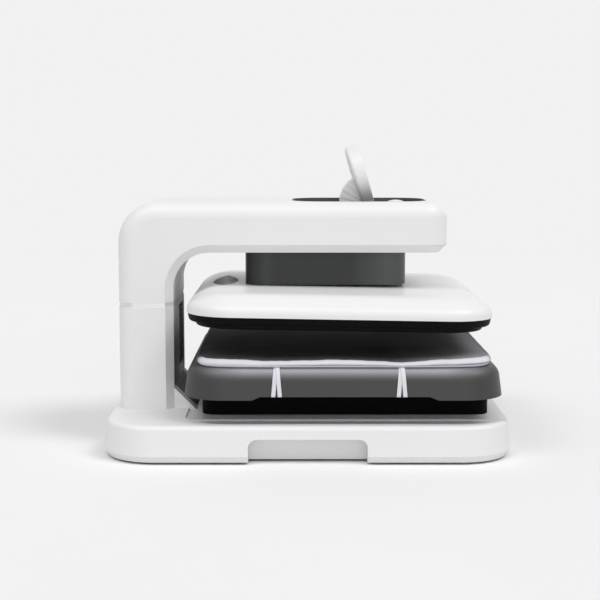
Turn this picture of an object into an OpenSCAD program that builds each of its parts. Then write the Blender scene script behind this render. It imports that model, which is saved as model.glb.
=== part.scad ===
// Flat heat press: a motor-driven ram in a C-shaped housing lowers a self-levelling
// heated platen onto the padded top of a drawer tray.
// Millimetres. Origin on the table under the middle of the base; +X is the user's side,
// +Y the far side of the machine, +Z up.

/* [Base] */
// Length of the base, from the column's side to the user's side
base_l = 544; // [530:1:600]
// Width of the base, across the machine
base_d = 424; // [418:1:480]
// Plan radius of the base's corners
base_r = 73; // [50:1:90]
// Height of the base moulding without its feet
base_h = 48; // [43:1:61]
// How far the base's sides lean in over their height
base_lean = 4; // [0:0.5:8]
// Fillet round the base's top edge
base_fillet = 7; // [3:0.5:10]
// Inset of the bevel round the base's bottom edge
base_bevel = 5; // [1:0.5:6]
// Height of that bevel
base_bevel_h = 8.5; // [4:0.5:12]
// Wall of the base moulding
base_wall = 4; // [3:0.5:6]
// Height of the rubber feet
foot_h = 3; // [2:0.5:8]
// Diameter of the rubber feet
foot_d = 32; // [20:1:40]
// Thickness of the steel bottom plate
base_plate_t = 2; // [1.5:0.5:3]
// Width of the rim left beside the deck's channel
channel_rim = 21; // [16:1:30]
// Depth of the raised floor in the middle of the deck's channel
channel_depth = 2.5; // [2:0.5:4]
// Further depth of the gutter round that floor
gutter_depth = 2.5; // [1:0.5:4]
// Width of the hand grip under the base's long sides
grip_w = 155; // [100:1:200]
// Height of the hand grip
grip_h = 30.5; // [20:0.5:35]
// Depth of the hand grip
grip_depth = 25; // [15:1:35]

/* [Column and arm] */
// Width of the column and arm, across the machine
arm_w = 190; // [176:1:220]
// Thickness of the column's outer shell, front to back
col_t = 65; // [62:1:80]
// Height of the arm's outer shell
arm_t = 58.5; // [58:0.5:70]
// Set-back of the column's rear face from the base's rear end
col_setback = 13; // [6:1:24]
// Outer radius where the column bends into the arm
bend_r = 56; // [40:1:58]
// Inner radius of that bend, at the parting line
bend_inner_r = 60; // [40:1:64]
// Fillet along the shell's outer edges
shell_fillet = 21; // [10:1:22]
// Plan radius of the arm's front corners
nose_r = 30; // [26:1:40]
// Bevel across the top of the arm's front end
nose_bevel = 20; // [14:0.5:21]
// Wall of the column and arm shells
shell_wall = 3; // [2:0.5:4]
// Bevel of the inner liner beyond the parting line
bevel = 10.5; // [8:0.5:14]
// Distance from the column's inner face to the ram's axis
throat = 209; // [200:1:230]
// Distance from the ram's axis to the arm's front end
arm_reach = 166.5; // [160:0.5:190]
// Height of the bright trim band
trim_h = 6; // [3:0.5:10]
// Length of column shell between the deck and the trim band
col_h = 141; // [135:1:146]
// Rise and run of the cheeks at the column's foot
cheek = 30.5; // [20:0.5:31]
// Width of each cheek
cheek_w = 24; // [15:1:30]

/* [Controls] */
// Length of the dark dish on the arm
dish_l = 188; // [184:1:200]
// Width of the dish
dish_w = 140; // [110:1:140]
// Depth of the dish
dish_depth = 18; // [18:0.5:20]
// Wall of the dish
dish_wall = 2.5; // [2:0.5:3]
// Diameter of the round display
display_d = 91; // [70:1:92]
// Thickness of the display head
display_t = 18.5; // [12:0.5:18.5]
// Lean of the raised display from upright, in degrees
display_lean = 17; // [10:1:30]
// Radius of the hood behind the display
hood_r = 42; // [36:1:43]
// Width of the hood
hood_w = 54; // [40:1:56]
// Diameter of the display's hinge pin
hinge_pin_d = 4; // [3:0.5:5]
// Diameter of the start button
button_d = 36; // [28:1:40]
// Travel of the start button
button_travel = 2.5; // [1.5:0.5:2.5]

/* [Ram] */
// Length of the ram shroud, front to back
shroud_l = 223.5; // [216:0.5:230]
// Width of the ram shroud
shroud_w = 130; // [124:1:136]
// Plan radius of the shroud's corners
shroud_r = 26; // [20:1:30]
// Wall of the shroud
shroud_wall = 3; // [2:0.5:4]
// Height of shroud seen between the platen and the arm
shroud_show = 46.2; // [44:0.2:60]
// Stroke of the ram
stroke = 34; // [20:1:34]
// Diameter of the guide rods
rod_d = 12; // [8:1:14]
// Diameter of the lead screw
screw_d = 14; // [10:1:16]
// Diameter of the levelling pin
level_pin_d = 10; // [8:1:12]
// Radial running clearance of rods, pins and screw
run_clear = 0.05; // [0.03:0.01:0.1]

/* [Platen] */
// Side of the square platen housing
platen_l = 405; // [400:1:410]
// Plan radius of the platen's corners
platen_r = 62; // [46:1:70]
// Distance from the ram's axis to the platen's middle
platen_offset = 17; // [10:1:20]
// Nose-down lean of the hanging platen, in degrees
platen_tilt = 1; // [0:0.1:1.2]
// Margin of the platen round the square heat plate
plate_margin = 12; // [10.5:0.5:18]
// Thickness of the heat plate
plate_t = 8; // [6:0.5:10]
// Diameter of the tubular heating element
element_d = 5.5; // [4:0.5:8]
// Thickness of the insulation board
board_t = 3.4; // [2:0.2:5]
// Height of the black skirt
skirt_h = 10.6; // [9.5:0.1:12]
// Height of the platen shell's upright rim
rim_h = 5; // [3:0.5:8]
// Small radius of the platen shell's shoulder
shoulder_r = 12; // [8:1:14]
// Large radius of the platen shell's crown
crown_r = 67; // [60:1:70]
// Slope at which the shoulder meets the crown, in degrees
crown_angle = 53.13; // [50:0.1:58]
// Wall of the platen shell
platen_wall = 3; // [2:0.5:4]

/* [Drawer tray] */
// Length of the tray, front to back
tray_l = 421; // [410:1:430]
// Width of the tray
tray_d = 412; // [404:1:416]
// Plan radius of the tray's corners
tray_r = 54; // [46:1:60]
// Height of the tray shell
tray_h = 41.6; // [38:0.2:50]
// How far the tray's sides lean in over their height
tray_lean = 5.5; // [0:0.5:7]
// Fillet round the tray's top edge
tray_fillet = 17; // [10:0.5:20]
// Wall of the tray shell
tray_wall = 3; // [2:0.5:4]
// Clearance between the shut tray and the column's inner face
tray_gap = 20; // [18:0.5:24]
// Travel of the drawer
tray_travel = 200; // [100:1:200]
// Margin of the tray round the press pad
pad_margin = 7.5; // [6:0.5:20]
// Thickness of the press pad at its crown
pad_t = 11.6; // [8:0.2:16]
// Gap left over the pad when the press is shut
shut_gap = 1; // [0.5:0.1:3]
// Length of the slide housing
housing_l = 390; // [376:1:398]
// Width of the slide housing
housing_w = 240; // [210:1:280]
// Height of the slide housing
housing_h = 25.5; // [20:0.5:30]
// Height of the slide rails
rail_h = 8; // [6:0.5:10]
// Width of a slide rail's head
rail_w = 22; // [18:1:30]
// Distance of each rail from the middle
rail_y = 80; // [60:1:85]
// Height of runner above the rail
runner_cap = 10; // [8:0.5:14]
// Clearance between sliding flat faces
slide_clear = 0.3; // [0.2:0.05:0.5]
// Thickness of the tray's steel plate
tray_plate_t = 2.5; // [1.5:0.5:4]
// Width of the ribbon ties
tie_w = 5.5; // [4:0.5:8]
// Thickness of the ribbon ties
tie_t = 0.8; // [0.6:0.1:1.5]

/* [Hidden] */
$fn = 96;
eps = 0.5;
fit = 0.3;
snug = 0.15;

// Levels, stacked up from the table
deck_z = foot_h + base_h;
floor_z = deck_z - channel_depth;
gutter_z = floor_z - gutter_depth;
housing_z = floor_z + housing_h;
rail_z = housing_z + rail_h;
tray_z = rail_z + 2.4;
tray_plate_z = rail_z + runner_cap;
tray_top = tray_z + tray_h;
pad_top = tray_top + pad_t;
plate_z = pad_top + shut_gap + stroke;
element_z = plate_z + plate_t;
board_z = element_z + element_d;
rim_z = board_z + board_t;
crown_h = crown_r - (crown_r - shoulder_r) * sin(crown_angle);
dome_z = rim_z + rim_h + crown_h;
pivot_z = dome_z - 9.8;
ram_z = dome_z + 2.5;
under_z = ram_z + shroud_show;
crease_z = under_z + bevel;
arm_top = crease_z + arm_t;
dish_z = arm_top - dish_depth;
beam_gap = 4;
beam_t = 4;
beam_top = dish_z - dish_wall - beam_gap;
beam_z = beam_top - beam_t;
trim_z = deck_z + col_h;
shell_z = trim_z + trim_h;

// Stations along the machine, from the rear
rear_x = col_setback - base_l / 2;
crease_x = rear_x + col_t;
inner_x = crease_x + bevel;
ram_x = inner_x + throat;
nose_x = ram_x + arm_reach;
platen_x = ram_x + platen_offset;
tray_x = inner_x + tray_gap + tray_l / 2;
bend_x = rear_x + bend_r;
bend_z = arm_top - bend_r;
inner_w = arm_w - 2 * bevel;

// Deck channel and what stands in it
channel_x0 = inner_x + 20.5;
channel_x1 = base_l / 2 + 5;
channel_w = base_d - 2 * channel_rim;
channel_r0 = 50;
channel_r1 = base_r - 3;
island_w = housing_w + 60;
rail_l = housing_l - 12;
rail_neck = 12;
housing_r = 19;
runner_l = 50;
runner_w = rail_w + 12;
runner_pitch = 100;
runner_end = 21;
slide_shift = 4.5;
slide_x = tray_x + slide_shift;
runner_front = slide_x + rail_l / 2 - tray_travel - runner_end - runner_l / 2;
rail_head = 3;
housing_wall = 3;

// Steel post and what it carries
post_x1 = inner_x - 22.5;
post_d = 40;
post_w = 120;
post_t = 4;
post_x0 = post_x1 - post_d;
post_foot_t = 4;
post_foot = [post_d + 20, post_w + 32];
bolt_d = 8;
bolt_at = [for (x = [post_x0 - 4, post_x1 + 4], y = [-1, 1]) [x, y * (post_w / 2 + 6)]];
beam_over = 106;
beam_x1 = ram_x + beam_over;
panel_t = 3;
panel_x = inner_x - 1 - panel_t;
panel_w = inner_w - 9;
vent_y = 12;
vent_w = 62;
vent_z = floor_z + cheek + 16;
vent_h = 88;
vent_back = 0.8;
vent_pitch = 7.6;

// Base screws and feet
foot_at = [for (x = [-1, 1], y = [-1, 1]) [x * (base_l / 2 - 52), y * (base_d / 2 - 50)]];
base_screw_at = [for (x = [-1, 1], y = [-1, 1]) [x * (base_l / 2 - 22), y * 95]];
screw_shank = 4;
screw_head = [8, 1.6];
base_screw_l = 14;
tray_screw_l = 12;

// Controls
dish_x = ram_x + 47.5;
dish_r = 45;
dish_flange = 3;
dish_lip = 3;
hinge_x = dish_x + 13;
hinge_z = dish_z + 12;
hood_n = 6;
hood_sweep = 88;
hood_step = 0.6;
hood_bay = [hood_r + 8, hood_w + 6];
hood_bay_x = hinge_x - hood_r - 2;
lug_t = 5;
lug_r = 5;
display_up = display_d / 2 - 6;
lug_y = sqrt(pow(display_d / 2, 2) - pow(display_up - lug_r, 2)) + 1;
knuckle_w = 2 * (lug_y - fit);
pin_l = 2 * (lug_y + lug_t);
head_edge = 5;
head_lip = 1.5;
glass_t = 1.5;
glass_rim = 7;
button_x = dish_x + 53;
button_z = dish_z + button_travel + fit;
stem_d = 6;

// Mains inlet and rocker on the column's rear
inlet_z = deck_z + 38;
inlet_w = 44;
inlet_h = 64;
inlet_flange = 2;
inlet_depth = 27;
mains_board = [1.6, 96, 84];
mains_post = 4;
mains_up = 50;
key_board = [34, 90, 1.6];
socket_w = 25;
socket_h = 17;
socket_depth = 18;
socket_z = inlet_z - 14;
rocker_z = inlet_z + 17;
rocker_x = rear_x + 7;
rocker_r = 11;
rocker_w = 14;
rocker_lean = 8;
rocker_dip = 3;

// Ram
shroud_top = under_z + stroke + 4;
rod_at = [for (x = [-1, 1], y = [-1, 1]) [ram_x + x * (shroud_l / 2 - 27.7), y * (shroud_w / 2 - 25)]];
ram_plate_t = 6;
collar = [screw_d + 12, 6];
rod_z = ram_z + ram_plate_t;
rod_top = beam_top - 0.5;
bush_z = rod_top - stroke - 12;
bush_d = rod_d + 10;
gearbox_z = rod_top - stroke - 6;
gearbox_l = 27;
gearbox_w = 50;
motor_d = 35;
motor_l = 66;
motor_z = (gearbox_z + beam_z) / 2 + 0.5;
lug_w = 17;
clevis_t = 8;
clevis_gap = 0.5;
clevis_r = 9;
bracket_t = 2.5;

// Platen, tray and pad
inset_l = 36;
inset_w = 142;
inset_at = 44;
inset_r = (inset_l * inset_l + inset_w * inset_w) / (4 * inset_l);
plate_l = platen_l - 2 * plate_margin;
heat_r = platen_r - 8;
element_inset = 65;
element_run = plate_l - 2 * element_inset;
element_pitch = 42;
neck_l = 30;
neck_w = lug_w + 2 * clevis_t + 12;
tray_boss = 150;
tray_boss_at = [for (x = [-1, 1], y = [-1, 1]) [x * tray_boss, y * tray_boss]];
notch_x = [-115, 117];
notch_rise = 4.5;
pad_l = tray_d - 2 * pad_margin;
pad_n = 80;
pad_draw = 2.5;
pad_shift = 0.4;
pad_rings = [[0.978, 0], [0.995, 0.18], [1, 0.4], [0.994, 0.62], [0.978, 0.76], [0.94, 0.84], [0.8, 0.92],
             [0.45, 0.99]];
tie_x = 81;
tie_shift = -6.5;
tie_spread = 3.2;
tie_tuck = 8;
tie_gap = tie_t / 2 + 0.35;
tie_over = tie_t + 0.2;
tie_drop = tray_h - 4.6;
fillet_lean = atan(tray_lean / tray_h);
fillet_y = tray_d / 2 - (tray_h - tray_fillet) * tan(fillet_lean) - tray_fillet / cos(fillet_lean);
fillet_path = tray_fillet + tie_gap;

// Ways of laying a profile out in space
module along_x(length) rotate([90, 0, 90]) linear_extrude(length) children();
module along_y(length) rotate([90, 0, 0]) linear_extrude(length, center = true) children();
module mirrored_y() {
    children();
    mirror([0, 1, 0]) children();
}

// Rounded rectangle about the origin
module round_rect(l, w, r) {
    square([l - 2 * r, w], center = true);
    square([l, w - 2 * r], center = true);
    for (x = [-1, 1], y = [-1, 1])
        translate([x * (l / 2 - r), y * (w / 2 - r)]) circle(r);
}
module round_plate(l, w, r, t) linear_extrude(t) round_rect(l, w, r);

// Side profile of a slab whose side leans in by an angle and ends in a fillet
module edge_face(r, h, lean, f) {
    a = atan(lean / h);
    c = [r - (h - f) * tan(a) - f / cos(a), h - f];
    polygon([[0, 0], [r, 0], c + f * [cos(a), sin(a)], c, [c.x, h], [0, h]]);
    intersection() {
        translate(c) circle(f);
        square([r, h]);
    }
}

// Side profile of the platen shell: upright rim, tight shoulder and wide crown, grown inward by a wall
module crown_face(wall) {
    shoulder = [platen_r - shoulder_r, rim_h];
    crown = shoulder - (crown_r - shoulder_r) * [cos(crown_angle), sin(crown_angle)];
    r1 = shoulder_r - wall;
    r2 = crown_r - wall;
    top = crown.y + r2;
    meet = shoulder + r1 * [cos(crown_angle), sin(crown_angle)];
    polygon([[0, 0], [platen_r - wall, 0], [platen_r - wall, rim_h], meet, [crown.x, top], [0, top]]);
    intersection() {
        translate(shoulder) circle(r1);
        translate(shoulder) square(shoulder_r);
    }
    intersection() {
        translate(crown) circle(r2);
        square([platen_r, crown_r]);
        polygon([crown, crown + 2 * r2 * [cos(crown_angle), sin(crown_angle)], crown + [r2, 2 * r2],
                 crown + [0, 2 * r2]]);
    }
}

// Slab on a rounded rectangle, with the child as its side profile out to the corner radius
module slab(l, d, r, h) {
    translate([r - l / 2, r - d / 2, 0]) cube([l - 2 * r, d - 2 * r, h]);
    for (i = [0:3])
        translate([(i % 3 == 0 ? 1 : -1) * (l / 2 - r), (i < 2 ? 1 : -1) * (d / 2 - r), 0])
            rotate(90 * i) rotate_extrude(angle = 90) children();
    mirrored_y() translate([r - l / 2, d / 2 - r, 0]) along_x(l - 2 * r) children();
    for (side = [0, 1])
        mirror([side, 0, 0]) translate([l / 2 - r, 0, 0]) along_y(d - 2 * r) children();
}

// Deck channel outline: tight corners by the column, wide ones that run out at the user's end
module channel_outline() {
    half = channel_w / 2;
    for (y = [-1, 1]) {
        translate([channel_x0 + channel_r0, y * (half - channel_r0)]) circle(channel_r0);
        translate([channel_x1 - channel_r1, y * (half - channel_r1)]) circle(channel_r1);
    }
    translate([channel_x0 + channel_r0, -half])
        square([channel_x1 - channel_x0 - channel_r0 - channel_r1, channel_w]);
    translate([channel_x0, channel_r0 - half]) square([channel_r0, channel_w - 2 * channel_r0]);
    translate([channel_x1 - channel_r1, channel_r1 - half]) square([channel_r1, channel_w - 2 * channel_r1]);
}

// Block that the hand grip takes out of the base, grown by a wall
module grip_block(grow) {
    r = 11;
    h = grip_h + grow;
    w = grip_w + 2 * grow;
    mirrored_y() translate([0, (grip_depth + grow - base_d - eps) / 2, foot_h])
        along_y(grip_depth + grow + eps) {
            translate([-w / 2, -eps]) square([w, h - r + eps]);
            translate([r - w / 2, -eps]) square([w - 2 * r, h + eps]);
            for (x = [-1, 1]) translate([x * (w / 2 - r), h - r]) circle(r);
        }
}

// Hollow under the base, closed by the bottom plate
module base_hollow(clear, h) {
    inset = base_lean + base_wall + clear;
    difference() {
        translate([0, 0, foot_h]) round_plate(base_l - 2 * inset, base_d - 2 * inset, base_r - inset, h);
        grip_block(base_wall + clear);
    }
}

// Side profile of the base: a leaning wall between a fillet above and a bevel below
module base_face() {
    polygon([[0, 0], [base_r - base_bevel, 0], [base_r, base_bevel_h], [0, base_bevel_h]]);
    translate([0, base_bevel_h]) edge_face(base_r, base_h - base_bevel_h, base_lean, base_fillet);
}

module base_shell() color("white") {
    difference() {
        translate([0, 0, foot_h]) slab(base_l, base_d, base_r, base_h) base_face();
        translate([0, 0, floor_z]) linear_extrude(base_h) channel_outline();
        difference() {
            translate([0, 0, gutter_z]) linear_extrude(base_h) channel_outline();
            translate([channel_x0 - eps, -island_w / 2, 0]) cube([base_l, island_w, base_h + foot_h]);
        }
        grip_block(0);
        translate([0, 0, -eps]) base_hollow(0, gutter_z - base_wall - foot_h + eps);
        translate([post_x0 - fit, -post_w / 2 - fit, 0])
            cube([post_d + 2 * fit, post_w + 2 * fit, deck_z + eps]);
    }
    for (p = base_screw_at) translate([p.x, p.y, foot_h + base_plate_t]) difference() {
        cylinder(d = 11, h = gutter_z - base_wall - foot_h - base_plate_t);
        translate([0, 0, -eps]) cylinder(d = screw_shank + 0.1, h = base_screw_l + 2);
    }
}

module base_plate() color("gray") difference() {
    base_hollow(fit, base_plate_t);
    for (p = base_screw_at) translate([p.x, p.y, 0]) cylinder(d = screw_shank + 0.4, h = deck_z);
    for (p = bolt_at) translate([p.x, p.y, 0]) cylinder(d = bolt_d + 0.4, h = deck_z);
}

module rubber_feet() color("dimgray")
    for (p = foot_at) translate([p.x, p.y, 0]) rotate_extrude() {
        square([foot_d / 2 - 1, foot_h]);
        translate([0, 1]) square([foot_d / 2, foot_h - 1]);
        translate([foot_d / 2 - 1, 1]) circle(1);
    }

module base_screws() color("silver")
    for (p = base_screw_at) translate([p.x, p.y, foot_h]) {
        translate([0, 0, -screw_head[1]]) cylinder(d = screw_head[0], h = screw_head[1]);
        cylinder(d = screw_shank, h = base_screw_l);
    }

module slide_housing() color([0.08, 0.08, 0.08]) translate([slide_x, 0, floor_z]) difference() {
    round_plate(housing_l, housing_w, housing_r, housing_h);
    translate([0, 0, -eps]) round_plate(housing_l - 2 * housing_wall, housing_w - 2 * housing_wall,
        housing_r - housing_wall, housing_h - housing_wall + eps);
}

module rail_face(clear) {
    translate([-rail_neck / 2 - clear, 0]) square([rail_neck + 2 * clear, rail_h]);
    translate([-rail_w / 2 - clear, rail_h - rail_head - clear])
        square([rail_w + 2 * clear, rail_head + 2 * clear]);
}
module slide_rails() color("silver")
    mirrored_y() translate([slide_x - rail_l / 2, rail_y, housing_z]) along_x(rail_l) rail_face(0);

module frame_post() color("slategray") {
    translate([0, 0, foot_h + base_plate_t]) linear_extrude(beam_z - foot_h - base_plate_t) {
        translate([post_x1 - post_t, -post_w / 2]) square([post_t, post_w]);
        for (y = [-1, 1]) translate([post_x0, y * (post_w - post_t) / 2 - post_t / 2])
            square([post_d, post_t]);
    }
    difference() {
        translate([post_x0 - 10, -post_foot.y / 2, foot_h + base_plate_t])
            cube([post_foot.x, post_foot.y, post_foot_t]);
        for (p = bolt_at) translate([p.x, p.y, 0]) cylinder(d = bolt_d + 0.4, h = deck_z);
    }
}

module arm_beam() color("slategray") difference() {
    translate([post_x0 + 6, -post_w / 2, beam_z]) cube([beam_x1 - post_x0 - 6, post_w, beam_t]);
    for (p = rod_at) translate([p.x, p.y, 0]) cylinder(d = bush_d - 4, h = arm_top);
    translate([ram_x, 0, 0]) cylinder(d = screw_d + 2, h = arm_top);
    translate([hood_bay_x, -hood_bay.y / 2, beam_z - eps]) cube([hood_bay.x, hood_bay.y, beam_t + 2 * eps]);
}

module frame_bolts() color("silver")
    for (p = bolt_at) translate([p.x, p.y, foot_h]) {
        cylinder(d = bolt_d, h = base_plate_t + post_foot_t + eps);
        translate([0, 0, base_plate_t + post_foot_t]) cylinder(d = 14, h = 5, $fn = 6);
    }

// Plan section of the column, shrunk by an inset, with its bevelled inner edges
module column_section(inset) {
    f = shell_fillet - inset;
    x0 = rear_x + inset;
    half = arm_w / 2 - inset;
    translate([x0 + f, -half]) square([crease_x - x0 - f, 2 * half]);
    translate([x0, f - half]) square([f, 2 * (half - f)]);
    for (y = [-1, 1]) translate([x0 + f, y * (half - f)]) circle(f);
    polygon([[crease_x - eps, -half], [crease_x, -half], [inner_x - inset, -half + bevel - inset],
             [inner_x - inset, half - bevel + inset], [crease_x, half], [crease_x - eps, half]]);
}
module column_bore() {
    translate([rear_x + shell_wall, 0]) round_slot();
    translate([crease_x - 2 * bevel, -panel_w / 2]) square([4 * bevel, panel_w]);
}
// Inside of the column, with rear corners that follow the shell's
module round_slot() {
    f = shell_fillet - shell_wall;
    half = arm_w / 2 - shell_wall;
    translate([f, -half]) square([crease_x - rear_x - shell_wall - f, 2 * half]);
    translate([0, f - half]) square([f, 2 * (half - f)]);
    for (y = [-1, 1]) translate([f, y * (half - f)]) circle(f);
}
// Side profile of the foot's slope, from the column's inner face down to the channel floor
module foot_slope(x0, drop) polygon([[x0, deck_z], [channel_x0 + fit, deck_z], [channel_x0 + fit, floor_z],
    [inner_x + cheek - drop, floor_z], [inner_x - drop, floor_z + cheek], [x0, floor_z + cheek]]);

module column_shell() color("white") {
    difference() {
        translate([0, 0, deck_z]) linear_extrude(col_h) column_section(0);
        translate([0, 0, deck_z - eps]) linear_extrude(col_h + 2 * eps) column_bore();
        translate([rear_x - eps, -inlet_w / 2 + 3, inlet_z - inlet_h / 2 + 3])
            cube([shell_wall + 2 * eps, inlet_w - 6, inlet_h - 6]);
    }
    mirrored_y() translate([0, inner_w / 2 - cheek_w / 2, 0]) along_y(cheek_w)
        foot_slope(inner_x - bevel / 2, 0);
}

module column_panel() color([0.25, 0.25, 0.26]) {
    difference() {
        translate([panel_x, -panel_w / 2 + fit, floor_z + cheek])
            cube([panel_t, panel_w - 2 * fit, shell_z - floor_z - cheek]);
        translate([panel_x + 1, vent_y, vent_z]) cube([panel_t, vent_w, vent_h]);
    }
    along_y(inner_w - 2 * cheek_w - 2 * fit) foot_slope(panel_x, 1);
}

module column_vent() color([0.03, 0.03, 0.03]) {
    w = vent_w - 2 * snug;
    translate([panel_x + 1, vent_y + snug, vent_z + snug]) cube([vent_back, w, vent_h - 2 * snug]);
    for (i = [0:10])
        translate([panel_x + 1 + vent_back, vent_y + snug, vent_z + 3 + i * vent_pitch]) cube([1, w, 4]);
}

module trim_band() color("silver") translate([0, 0, trim_z]) linear_extrude(trim_h) difference() {
    column_section(0.8);
    column_bore();
}

// Outer C of column and arm, from the trim band to the nose, shrunk by an inset; a cavity also
// breaks through the parting line
module c_body(inset) difference() {
    c_solid(inset);
    nose_cut(nose_bevel + inset * sqrt(2));
}
module nose_cut(size) translate([nose_x - size, 0, arm_top]) rotate([0, 45, 0])
    translate([-size, -arm_w, 0]) cube([4 * size, 2 * arm_w, 2 * size]);
module c_solid(inset) {
    open = inset > 0 ? 1 : 0;
    f = shell_fillet - inset;
    r = nose_r - inset;
    half = arm_w / 2 - nose_r;
    z0 = crease_z - open;
    h = arm_top - inset - z0;
    x1 = nose_x - nose_r;
    translate([bend_x, -half, z0]) cube([x1 - bend_x, 2 * half, h]);
    mirrored_y() translate([bend_x, half, z0]) along_x(x1 - bend_x) edge_face(r, h, 0, f);
    translate([x1, 0, z0]) along_y(2 * half) edge_face(r, h, 0, f);
    for (y = [0, 1]) translate([x1, (2 * y - 1) * half, z0]) rotate(90 * y - 90) rotate_extrude(angle = 90)
        edge_face(r, h, 0, f);
    translate([bend_x, 0, bend_z]) rotate([90, 0, 0]) rotate(90) rotate_extrude(angle = 90) bend_face(inset);
    translate([0, 0, shell_z - open]) linear_extrude(bend_z - shell_z + open) intersection() {
        column_section(inset);
        translate([rear_x, -arm_w / 2]) square([col_t + open, arm_w]);
    }
    translate([crease_x - eps, 0, crease_z - bend_inner_r]) along_y(arm_w - 2 * inset) difference() {
        square(bend_inner_r + eps);
        translate([bend_inner_r + eps, 0]) circle(bend_inner_r - open);
    }
}
module bend_face(inset) {
    r = bend_r - inset;
    f = shell_fillet - inset;
    half = arm_w / 2 - inset;
    translate([0, -half]) square([r - f, 2 * half]);
    translate([0, f - half]) square([r, 2 * (half - f)]);
    for (y = [-1, 1]) translate([r - f, y * (half - f)]) circle(f);
}

module arm_shell() color("white") difference() {
    c_body(0);
    c_body(shell_wall);
    translate([dish_x, 0, dish_z]) round_plate(dish_l, dish_w, dish_r, dish_depth + eps);
}

// Section of the liner across the arm: a shallow trough with bevelled flanks
module liner_face(inset) polygon([[inset > 0 ? -eps : 0, -arm_w / 2 + inset], [0, -arm_w / 2 + inset],
    [bevel - inset, inset / 3 - inner_w / 2], [bevel - inset, inner_w / 2 - inset / 3],
    [0, arm_w / 2 - inset], [inset > 0 ? -eps : 0, arm_w / 2 - inset]]);
module liner_path(inset) {
    bx = crease_x + bend_inner_r;
    bz = crease_z - bend_inner_r;
    open = inset > 0 ? eps : 0;
    translate([crease_x, 0, shell_z - open]) linear_extrude(bz - shell_z + open) liner_face(inset);
    translate([bx, 0, bz]) rotate([90, 0, 0]) rotate(90) rotate_extrude(angle = 90)
        translate([bend_inner_r, 0]) mirror([1, 0]) liner_face(inset);
    translate([bx, 0, crease_z]) rotate([0, 90, 0])
        linear_extrude(nose_x - bx - (inset > 0 ? nose_r : 0)) liner_face(inset);
}
module arm_liner() color([0.93, 0.93, 0.93]) difference() {
    liner_path(0);
    liner_path(shell_wall);
    translate([nose_x, 0, crease_z]) rotate([0, 45, 0]) translate([0, -arm_w, -arm_w / 2])
        cube([arm_w, 2 * arm_w, arm_w]);
    mirrored_y() translate([nose_x - nose_r, arm_w / 2 - nose_r, under_z - 1]) difference() {
        cube([2 * nose_r, 2 * nose_r, bevel + 2]);
        translate([0, 0, -1]) cylinder(r1 = nose_r - bevel - 2, r2 = nose_r + 2, h = bevel + 4);
    }
    translate([ram_x, 0, under_z - eps]) round_plate(shroud_l + 2, shroud_w + 2, shroud_r + 1, arm_t);
}

module control_dish() color([0.2, 0.2, 0.21]) {
    difference() {
        union() {
            translate([dish_x, 0, dish_z - dish_wall])
                round_plate(dish_l - 2 * snug, dish_w - 2 * snug, dish_r - snug, dish_depth + dish_wall);
            translate([dish_x, 0, arm_top - shell_wall - dish_flange])
                round_plate(dish_l + 2 * dish_lip, dish_w + 2 * dish_lip, dish_r + dish_lip, dish_flange);
        }
        translate([dish_x, 0, dish_z]) round_plate(dish_l - 2 * dish_wall, dish_w - 2 * dish_wall,
            dish_r - dish_wall, dish_depth + eps);
        translate([hood_bay_x, -hood_bay.y / 2, dish_z - dish_wall - eps])
            cube([hood_bay.x, hood_bay.y, dish_wall + 2 * eps]);
        translate([button_x, 0, dish_z - dish_wall - eps]) cylinder(d = stem_d + 2 * fit, h = dish_depth);
    }
    translate([button_x, 0, dish_z]) difference() {
        cylinder(d = button_d + 6, h = 7);
        translate([0, 0, -eps]) cylinder(d = button_d + 2 * fit, h = dish_depth);
    }
    mirrored_y() translate([hinge_x, lug_y + lug_t / 2, 0]) difference() {
        along_y(lug_t) {
            translate([0, hinge_z]) circle(lug_r);
            translate([-lug_r, dish_z - 0.1]) square([2 * lug_r, hinge_z - dish_z + 0.1]);
        }
        translate([0, 0, hinge_z]) rotate([90, 0, 0]) cylinder(d = hinge_pin_d, h = 2 * lug_t, center = true);
    }
}

module display_pin() color("silver") at_hinge(hinge_pin_d, pin_l);

module power_inlet() color([0.06, 0.06, 0.06]) difference() {
    union() {
        translate([rear_x - inlet_flange, 0, inlet_z]) rotate([0, 90, 0])
            round_plate(inlet_h, inlet_w, 4, inlet_flange);
        translate([rear_x, -inlet_w / 2 + 3 + snug, inlet_z - inlet_h / 2 + 3 + snug])
            cube([inlet_depth, inlet_w - 6 - 2 * snug, inlet_h - 6 - 2 * snug]);
    }
    translate([rear_x - inlet_flange - eps, -socket_w / 2, socket_z - socket_h / 2]) difference() {
        cube([socket_depth, socket_w, socket_h]);
        for (i = [-1:1]) translate([7, socket_w / 2 + i * 7 - 1, socket_h / 2 - 2 + (i == 0 ? 2 : -1)])
            cube([socket_depth, 2, 4]);
    }
    translate([rocker_x, 0, rocker_z]) rotate([90, 0, 0])
        cylinder(r = rocker_r + fit, h = rocker_w + 2 * fit, center = true);
}

// Rocker with two flat faces in a shallow valley, lying pressed to one side
module power_rocker() color([0.1, 0.1, 0.1])
    translate([rocker_x, 0, rocker_z]) along_y(rocker_w) rotate(rocker_lean) difference() {
        valley = rocker_dip - rocker_r;
        ends = valley - rocker_r * tan(rocker_lean);
        circle(rocker_r);
        polygon([[valley, 0], [ends, rocker_r], [-3 * rocker_r, rocker_r], [-3 * rocker_r, -rocker_r],
                 [ends, -rocker_r]]);
    }

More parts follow.
